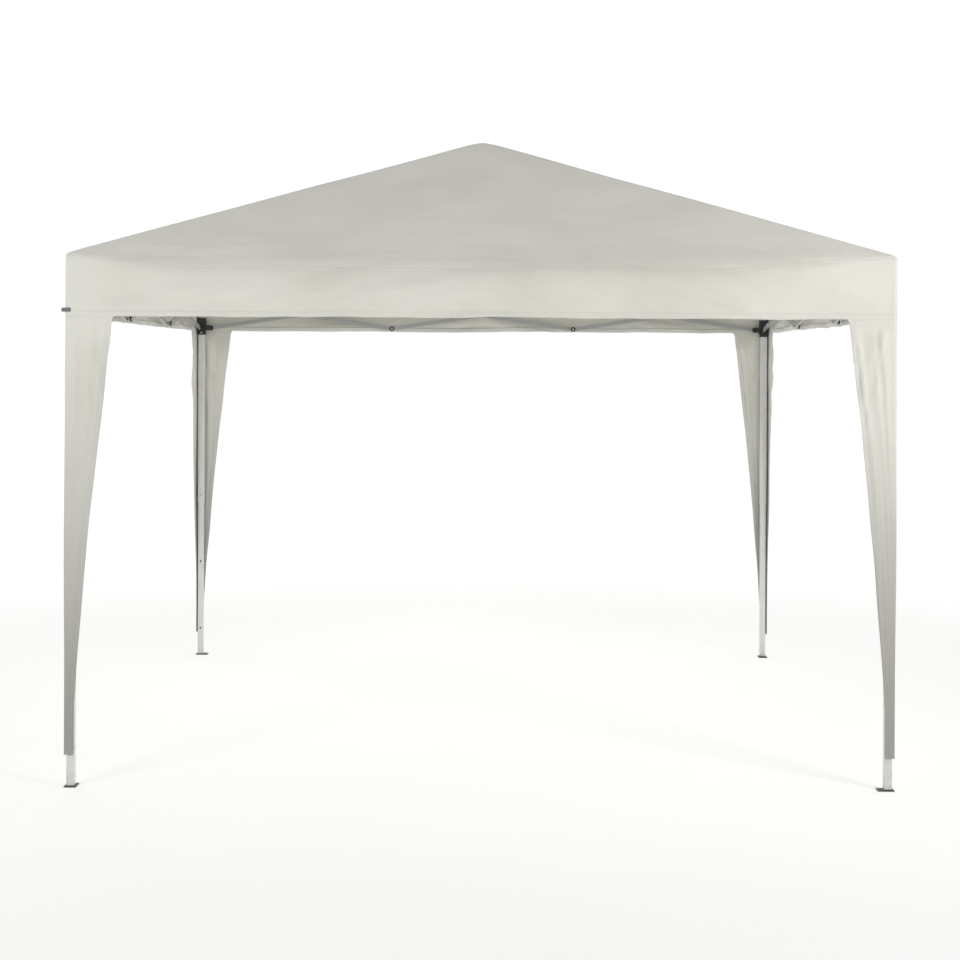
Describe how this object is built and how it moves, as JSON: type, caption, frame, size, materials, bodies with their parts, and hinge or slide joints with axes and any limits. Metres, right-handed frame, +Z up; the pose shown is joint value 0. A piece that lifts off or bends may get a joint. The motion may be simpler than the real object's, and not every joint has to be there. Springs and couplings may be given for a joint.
{
  "type": "pop up gazebo",
  "caption": "Square pop-up garden gazebo: telescoping legs, folding scissor-truss sides and roof arms, and a fabric canopy with a valance and tapered leg drapes.",
  "frame": {"origin": "on the ground under the hub, at the middle of the four feet", "axes": "+Z up, +Y towards the back, +X to the right as seen from the front"},
  "size_m": [3, 3, 2.513],
  "materials": {
    "canopy_fabric": "woven polyester, pale warm grey, matt",
    "white_powder_coat": "satin powder coat on steel tube",
    "black_nylon": "moulded black nylon, fine grain",
    "zinc_plated_steel": "zinc plated, dull"
  },
  "bodies": {
    "leg_front_left": {"upper_leg_front_left": "white_powder_coat", "top_bracket_front_left": "black_nylon", "canopy": "canopy_fabric"},
    "leg_front_right": {"upper_leg_front_right": "white_powder_coat", "top_bracket_front_right": "black_nylon"},
    "leg_back_right": {"upper_leg_back_right": "white_powder_coat", "top_bracket_back_right": "black_nylon"},
    "leg_back_left": {"upper_leg_back_left": "white_powder_coat", "top_bracket_back_left": "black_nylon"},
    "lower_leg_front_left": {"lower_leg_front_left": "white_powder_coat"},
    "slider_front_left": {"slider_front_left": "black_nylon"},
    "slider_button_front_left": {"slider_button_front_left": "zinc_plated_steel"},
    "leg_snap_button_front_left": {"leg_snap_button_front_left": "zinc_plated_steel"},
    "roof_arm_outer_front_left": {"roof_arm_outer_front_left": "white_powder_coat"},
    "roof_arm_inner_front_left": {"roof_arm_inner_front_left": "white_powder_coat"},
    "lower_leg_front_right": {"lower_leg_front_right": "white_powder_coat"},
    "slider_front_right": {"slider_front_right": "black_nylon"},
    "slider_button_front_right": {"slider_button_front_right": "zinc_plated_steel"},
    "leg_snap_button_front_right": {"leg_snap_button_front_right": "zinc_plated_steel"},
    "roof_arm_outer_front_right": {"roof_arm_outer_front_right": "white_powder_coat"},
    "roof_arm_inner_front_right": {"roof_arm_inner_front_right": "white_powder_coat"},
    "lower_leg_back_right": {"lower_leg_back_right": "white_powder_coat"},
    "slider_back_right": {"slider_back_right": "black_nylon"},
    "slider_button_back_right": {"slider_button_back_right": "zinc_plated_steel"},
    "leg_snap_button_back_right": {"leg_snap_button_back_right": "zinc_plated_steel"},
    "roof_arm_outer_back_right": {"roof_arm_outer_back_right": "white_powder_coat"},
    "roof_arm_inner_back_right": {"roof_arm_inner_back_right": "white_powder_coat"},
    "lower_leg_back_left": {"lower_leg_back_left": "white_powder_coat"},
    "slider_back_left": {"slider_back_left": "black_nylon"},
    "slider_button_back_left": {"slider_button_back_left": "zinc_plated_steel"},
    "leg_snap_button_back_left": {"leg_snap_button_back_left": "zinc_plated_steel"},
    "roof_arm_outer_back_left": {"roof_arm_outer_back_left": "white_powder_coat"},
    "roof_arm_inner_back_left": {"roof_arm_inner_back_left": "white_powder_coat"},
    "hub": {"roof_hub": "black_nylon", "peak_mast": "white_powder_coat", "peak_cap": "black_nylon"},
    "truss_front_1_down": {"truss_front_1_down": "white_powder_coat"},
    "truss_front_1_up": {"truss_front_1_up": "white_powder_coat"},
    "truss_front_2_down": {"truss_front_2_down": "white_powder_coat"},
    "truss_front_2_up": {"truss_front_2_up": "white_powder_coat"},
    "truss_front_3_down": {"truss_front_3_down": "white_powder_coat"},
    "truss_front_3_up": {"truss_front_3_up": "white_powder_coat"},
    "truss_right_1_down": {"truss_right_1_down": "white_powder_coat"},
    "truss_right_1_up": {"truss_right_1_up": "white_powder_coat"},
    "truss_right_2_down": {"truss_right_2_down": "white_powder_coat"},
    "truss_right_2_up": {"truss_right_2_up": "white_powder_coat"},
    "truss_right_3_down": {"truss_right_3_down": "white_powder_coat"},
    "truss_right_3_up": {"truss_right_3_up": "white_powder_coat"},
    "truss_left_1_down": {"truss_left_1_down": "white_powder_coat"},
    "truss_left_1_up": {"truss_left_1_up": "white_powder_coat"},
    "truss_left_2_down": {"truss_left_2_down": "white_powder_coat"},
    "truss_left_2_up": {"truss_left_2_up": "white_powder_coat"},
    "truss_left_3_down": {"truss_left_3_down": "white_powder_coat"},
    "truss_left_3_up": {"truss_left_3_up": "white_powder_coat"},
    "truss_back_1_down": {"truss_back_1_down": "white_powder_coat"},
    "truss_back_1_up": {"truss_back_1_up": "white_powder_coat"},
    "truss_back_2_down": {"truss_back_2_down": "white_powder_coat"},
    "truss_back_2_up": {"truss_back_2_up": "white_powder_coat"},
    "truss_back_3_down": {"truss_back_3_down": "white_powder_coat"},
    "truss_back_3_up": {"truss_back_3_up": "white_powder_coat"}
  },
  "joints": [
    {"name": "fold", "type": "hinge", "parent": "leg_front_left", "child": "truss_front_1_down", "pos_m": [-1.428, -1.476, 1.86], "axis": [0, 1, 0], "range_deg": [0, 75.4], "deforming": ["canopy"]},
    {"name": "truss_front_1_up_pivot", "type": "hinge", "parent": "truss_front_1_down", "child": "truss_front_1_up", "pos_m": [-0.952, -1.476, 1.788], "axis": [0, 1, 0], "range_deg": [-150.8, 0]},
    {"name": "truss_front_2_up_pivot", "type": "hinge", "parent": "truss_front_1_down", "child": "truss_front_2_up", "pos_m": [-0.476, -1.476, 1.716], "axis": [0, 1, 0], "range_deg": [-150.8, 0]},
    {"name": "truss_front_2_down_pivot", "type": "hinge", "parent": "truss_front_2_up", "child": "truss_front_2_down", "pos_m": [0, -1.476, 1.788], "axis": [0, 1, 0], "range_deg": [0, 150.8]},
    {"name": "truss_front_3_down_pivot", "type": "hinge", "parent": "truss_front_2_up", "child": "truss_front_3_down", "pos_m": [0.476, -1.476, 1.86], "axis": [0, 1, 0], "range_deg": [0, 150.8]},
    {"name": "truss_front_3_up_pivot", "type": "hinge", "parent": "truss_front_3_down", "child": "truss_front_3_up", "pos_m": [0.952, -1.476, 1.788], "axis": [0, 1, 0], "range_deg": [-150.8, 0]},
    {"name": "leg_front_right_pivot", "type": "hinge", "parent": "truss_front_3_up", "child": "leg_front_right", "pos_m": [1.428, -1.476, 1.86], "axis": [0, 1, 0], "range_deg": [0, 75.4]},
    {"name": "slider_front_right_pivot", "type": "hinge", "parent": "truss_front_3_down", "child": "slider_front_right", "pos_m": [1.428, -1.476, 1.716], "axis": [0, 1, 0], "range_deg": [-75.4, 0]},
    {"name": "slider_front_left_pivot", "type": "hinge", "parent": "truss_front_1_up", "child": "slider_front_left", "pos_m": [-1.428, -1.476, 1.716], "axis": [0, 1, 0], "range_deg": [0, 75.4]},
    {"name": "truss_right_1_down_pivot", "type": "hinge", "parent": "leg_front_right", "child": "truss_right_1_down", "pos_m": [1.476, -1.428, 1.86], "axis": [-1, 0, 0], "range_deg": [0, 75.4]},
    {"name": "truss_right_1_up_pivot", "type": "hinge", "parent": "truss_right_1_down", "child": "truss_right_1_up", "pos_m": [1.476, -0.952, 1.788], "axis": [-1, 0, 0], "range_deg": [-150.8, 0]},
    {"name": "truss_right_2_up_pivot", "type": "hinge", "parent": "truss_right_1_down", "child": "truss_right_2_up", "pos_m": [1.476, -0.476, 1.716], "axis": [-1, 0, 0], "range_deg": [-150.8, 0]},
    {"name": "truss_right_2_down_pivot", "type": "hinge", "parent": "truss_right_2_up", "child": "truss_right_2_down", "pos_m": [1.476, 0, 1.788], "axis": [-1, 0, 0], "range_deg": [0, 150.8]},
    {"name": "truss_right_3_down_pivot", "type": "hinge", "parent": "truss_right_2_up", "child": "truss_right_3_down", "pos_m": [1.476, 0.476, 1.86], "axis": [-1, 0, 0], "range_deg": [0, 150.8]},
    {"name": "truss_right_3_up_pivot", "type": "hinge", "parent": "truss_right_3_down", "child": "truss_right_3_up", "pos_m": [1.476, 0.952, 1.788], "axis": [-1, 0, 0], "range_deg": [-150.8, 0]},
    {"name": "leg_back_right_pivot", "type": "hinge", "parent": "truss_right_3_up", "child": "leg_back_right", "pos_m": [1.476, 1.428, 1.86], "axis": [-1, 0, 0], "range_deg": [0, 75.4]},
    {"name": "slider_back_right_pivot", "type": "hinge", "parent": "truss_right_3_down", "child": "slider_back_right", "pos_m": [1.476, 1.428, 1.716], "axis": [-1, 0, 0], "range_deg": [-75.4, 0]},
    {"name": "truss_left_1_down_pivot", "type": "hinge", "parent": "leg_front_left", "child": "truss_left_1_down", "pos_m": [-1.476, -1.428, 1.86], "axis": [-1, 0, 0], "range_deg": [0, 75.4]},
    {"name": "truss_left_1_up_pivot", "type": "hinge", "parent": "truss_left_1_down", "child": "truss_left_1_up", "pos_m": [-1.476, -0.952, 1.788], "axis": [-1, 0, 0], "range_deg": [-150.8, 0]},
    {"name": "truss_left_2_up_pivot", "type": "hinge", "parent": "truss_left_1_down", "child": "truss_left_2_up", "pos_m": [-1.476, -0.476, 1.716], "axis": [-1, 0, 0], "range_deg": [-150.8, 0]},
    {"name": "truss_left_2_down_pivot", "type": "hinge", "parent": "truss_left_2_up", "child": "truss_left_2_down", "pos_m": [-1.476, 0, 1.788], "axis": [-1, 0, 0], "range_deg": [0, 150.8]},
    {"name": "truss_left_3_down_pivot", "type": "hinge", "parent": "truss_left_2_up", "child": "truss_left_3_down", "pos_m": [-1.476, 0.476, 1.86], "axis": [-1, 0, 0], "range_deg": [0, 150.8]},
    {"name": "truss_left_3_up_pivot", "type": "hinge", "parent": "truss_left_3_down", "child": "truss_left_3_up", "pos_m": [-1.476, 0.952, 1.788], "axis": [-1, 0, 0], "range_deg": [-150.8, 0]},
    {"name": "leg_back_left_pivot", "type": "hinge", "parent": "truss_left_3_up", "child": "leg_back_left", "pos_m": [-1.476, 1.428, 1.86], "axis": [-1, 0, 0], "range_deg": [0, 75.4]},
    {"name": "slider_back_left_pivot", "type": "hinge", "parent": "truss_left_3_down", "child": "slider_back_left", "pos_m": [-1.476, 1.428, 1.716], "axis": [-1, 0, 0], "range_deg": [-75.4, 0]},
    {"name": "truss_back_1_down_pivot", "type": "hinge", "parent": "leg_back_left", "child": "truss_back_1_down", "pos_m": [-1.428, 1.476, 1.86], "axis": [0, 1, 0], "range_deg": [0, 75.4]},
    {"name": "truss_back_1_up_pivot", "type": "hinge", "parent": "truss_back_1_down", "child": "truss_back_1_up", "pos_m": [-0.952, 1.476, 1.788], "axis": [0, 1, 0], "range_deg": [-150.8, 0]},
    {"name": "truss_back_2_up_pivot", "type": "hinge", "parent": "truss_back_1_down", "child": "truss_back_2_up", "pos_m": [-0.476, 1.476, 1.716], "axis": [0, 1, 0], "range_deg": [-150.8, 0]},
    {"name": "truss_back_2_down_pivot", "type": "hinge", "parent": "truss_back_2_up", "child": "truss_back_2_down", "pos_m": [0, 1.476, 1.788], "axis": [0, 1, 0], "range_deg": [0, 150.8]},
    {"name": "truss_back_3_down_pivot", "type": "hinge", "parent": "truss_back_2_up", "child": "truss_back_3_down", "pos_m": [0.476, 1.476, 1.86], "axis": [0, 1, 0], "range_deg": [0, 150.8]},
    {"name": "truss_back_3_up_pivot", "type": "hinge", "parent": "truss_back_3_down", "child": "truss_back_3_up", "pos_m": [0.952, 1.476, 1.788], "axis": [0, 1, 0], "range_deg": [-150.8, 0]},
    {"name": "roof_arm_outer_front_left_pivot", "type": "hinge", "parent": "leg_front_left", "child": "roof_arm_outer_front_left", "pos_m": [-1.43216, -1.43216, 1.896], "axis": [-0.7071, 0.7071, 0], "range_deg": [0, 75.4]},
    {"name": "roof_arm_inner_front_left_pivot", "type": "hinge", "parent": "roof_arm_outer_front_left", "child": "roof_arm_inner_front_left", "pos_m": [-0.70564, -0.70564, 1.86027], "axis": [-0.7071, 0.7071, 0], "range_deg": [-150.8, 0]},
    {"name": "hub_pivot", "type": "hinge", "parent": "roof_arm_inner_front_left", "child": "hub", "pos_m": [-0.00416, -0.00416, 2.13], "axis": [-0.7071, 0.7071, 0], "range_deg": [0, 75.4]},
    {"name": "roof_arm_outer_front_right_pivot", "type": "hinge", "parent": "leg_front_right", "child": "roof_arm_outer_front_right", "pos_m": [1.43216, -1.43216, 1.896], "axis": [-0.7071, -0.7071, 0], "range_deg": [0, 75.4]},
    {"name": "roof_arm_inner_front_right_pivot", "type": "hinge", "parent": "roof_arm_outer_front_right", "child": "roof_arm_inner_front_right", "pos_m": [0.70564, -0.70564, 1.86027], "axis": [-0.7071, -0.7071, 0], "range_deg": [-150.8, 0]},
    {"name": "roof_arm_outer_back_right_pivot", "type": "hinge", "parent": "leg_back_right", "child": "roof_arm_outer_back_right", "pos_m": [1.43216, 1.43216, 1.896], "axis": [0.7071, -0.7071, 0], "range_deg": [0, 75.4]},
    {"name": "roof_arm_inner_back_right_pivot", "type": "hinge", "parent": "roof_arm_outer_back_right", "child": "roof_arm_inner_back_right", "pos_m": [0.70564, 0.70564, 1.86027], "axis": [0.7071, -0.7071, 0], "range_deg": [-150.8, 0]},
    {"name": "roof_arm_outer_back_left_pivot", "type": "hinge", "parent": "leg_back_left", "child": "roof_arm_outer_back_left", "pos_m": [-1.43216, 1.43216, 1.896], "axis": [0.7071, 0.7071, 0], "range_deg": [0, 75.4]},
    {"name": "roof_arm_inner_back_left_pivot", "type": "hinge", "parent": "roof_arm_outer_back_left", "child": "roof_arm_inner_back_left", "pos_m": [-0.70564, 0.70564, 1.86027], "axis": [0.7071, 0.7071, 0], "range_deg": [-150.8, 0]},
    {"name": "lower_leg_front_left_slide", "type": "slide", "parent": "leg_front_left", "child": "lower_leg_front_left", "axis": [0, 0, 1], "range_m": [0, 0.7]},
    {"name": "lower_leg_front_right_slide", "type": "slide", "parent": "leg_front_right", "child": "lower_leg_front_right", "axis": [0, 0, 1], "range_m": [0, 0.7]},
    {"name": "lower_leg_back_right_slide", "type": "slide", "parent": "leg_back_right", "child": "lower_leg_back_right", "axis": [0, 0, 1], "range_m": [0, 0.7]},
    {"name": "lower_leg_back_left_slide", "type": "slide", "parent": "leg_back_left", "child": "lower_leg_back_left", "axis": [0, 0, 1], "range_m": [0, 0.7]},
    {"name": "slider_button_front_left_press", "type": "slide", "parent": "slider_front_left", "child": "slider_button_front_left", "axis": [-1, 0, 0], "range_m": [0, 0.003], "stiffness_N_per_m": 400, "springref_m": -0.002},
    {"name": "leg_snap_button_front_left_press", "type": "slide", "parent": "leg_front_left", "child": "leg_snap_button_front_left", "axis": [-1, 0, 0], "range_m": [0, 0.004], "stiffness_N_per_m": 400, "springref_m": -0.002},
    {"name": "slider_button_front_right_press", "type": "slide", "parent": "slider_front_right", "child": "slider_button_front_right", "axis": [0, -1, 0], "range_m": [0, 0.003], "stiffness_N_per_m": 400, "springref_m": -0.002},
    {"name": "leg_snap_button_front_right_press", "type": "slide", "parent": "leg_front_right", "child": "leg_snap_button_front_right", "axis": [0, -1, 0], "range_m": [0, 0.004], "stiffness_N_per_m": 400, "springref_m": -0.002},
    {"name": "slider_button_back_right_press", "type": "slide", "parent": "slider_back_right", "child": "slider_button_back_right", "axis": [1, 0, 0], "range_m": [0, 0.003], "stiffness_N_per_m": 400, "springref_m": -0.002},
    {"name": "leg_snap_button_back_right_press", "type": "slide", "parent": "leg_back_right", "child": "leg_snap_button_back_right", "axis": [1, 0, 0], "range_m": [0, 0.004], "stiffness_N_per_m": 400, "springref_m": -0.002},
    {"name": "slider_button_back_left_press", "type": "slide", "parent": "slider_back_left", "child": "slider_button_back_left", "axis": [0, 1, 0], "range_m": [0, 0.003], "stiffness_N_per_m": 400, "springref_m": -0.002},
    {"name": "leg_snap_button_back_left_press", "type": "slide", "parent": "leg_back_left", "child": "leg_snap_button_back_left", "axis": [0, 1, 0], "range_m": [0, 0.004], "stiffness_N_per_m": 400, "springref_m": -0.002}
  ],
  "couplings": [
    {"joint": "truss_front_1_up_pivot", "follows": "fold", "ratio": -2},
    {"joint": "truss_front_2_up_pivot", "follows": "fold", "ratio": -2},
    {"joint": "truss_front_2_down_pivot", "follows": "fold", "ratio": 2},
    {"joint": "truss_front_3_down_pivot", "follows": "fold", "ratio": 2},
    {"joint": "truss_front_3_up_pivot", "follows": "fold", "ratio": -2},
    {"joint": "leg_front_right_pivot", "follows": "fold", "ratio": 1},
    {"joint": "slider_front_right_pivot", "follows": "fold", "ratio": -1},
    {"joint": "slider_front_left_pivot", "follows": "fold", "ratio": 1},
    {"joint": "truss_right_1_down_pivot", "follows": "fold", "ratio": 1},
    {"joint": "truss_right_1_up_pivot", "follows": "fold", "ratio": -2},
    {"joint": "truss_right_2_up_pivot", "follows": "fold", "ratio": -2},
    {"joint": "truss_right_2_down_pivot", "follows": "fold", "ratio": 2},
    {"joint": "truss_right_3_down_pivot", "follows": "fold", "ratio": 2},
    {"joint": "truss_right_3_up_pivot", "follows": "fold", "ratio": -2},
    {"joint": "leg_back_right_pivot", "follows": "fold", "ratio": 1},
    {"joint": "slider_back_right_pivot", "follows": "fold", "ratio": -1},
    {"joint": "truss_left_1_down_pivot", "follows": "fold", "ratio": 1},
    {"joint": "truss_left_1_up_pivot", "follows": "fold", "ratio": -2},
    {"joint": "truss_left_2_up_pivot", "follows": "fold", "ratio": -2},
    {"joint": "truss_left_2_down_pivot", "follows": "fold", "ratio": 2},
    {"joint": "truss_left_3_down_pivot", "follows": "fold", "ratio": 2},
    {"joint": "truss_left_3_up_pivot", "follows": "fold", "ratio": -2},
    {"joint": "leg_back_left_pivot", "follows": "fold", "ratio": 1},
    {"joint": "slider_back_left_pivot", "follows": "fold", "ratio": -1},
    {"joint": "truss_back_1_down_pivot", "follows": "fold", "ratio": 1},
    {"joint": "truss_back_1_up_pivot", "follows": "fold", "ratio": -2},
    {"joint": "truss_back_2_up_pivot", "follows": "fold", "ratio": -2},
    {"joint": "truss_back_2_down_pivot", "follows": "fold", "ratio": 2},
    {"joint": "truss_back_3_down_pivot", "follows": "fold", "ratio": 2},
    {"joint": "truss_back_3_up_pivot", "follows": "fold", "ratio": -2},
    {"joint": "roof_arm_outer_front_left_pivot", "follows": "fold", "ratio": 1},
    {"joint": "roof_arm_inner_front_left_pivot", "follows": "fold", "ratio": -2},
    {"joint": "hub_pivot", "follows": "fold", "ratio": 1},
    {"joint": "roof_arm_outer_front_right_pivot", "follows": "fold", "ratio": 1},
    {"joint": "roof_arm_inner_front_right_pivot", "follows": "fold", "ratio": -2},
    {"joint": "roof_arm_outer_back_right_pivot", "follows": "fold", "ratio": 1},
    {"joint": "roof_arm_inner_back_right_pivot", "follows": "fold", "ratio": -2},
    {"joint": "roof_arm_outer_back_left_pivot", "follows": "fold", "ratio": 1},
    {"joint": "roof_arm_inner_back_left_pivot", "follows": "fold", "ratio": -2}
  ]
}
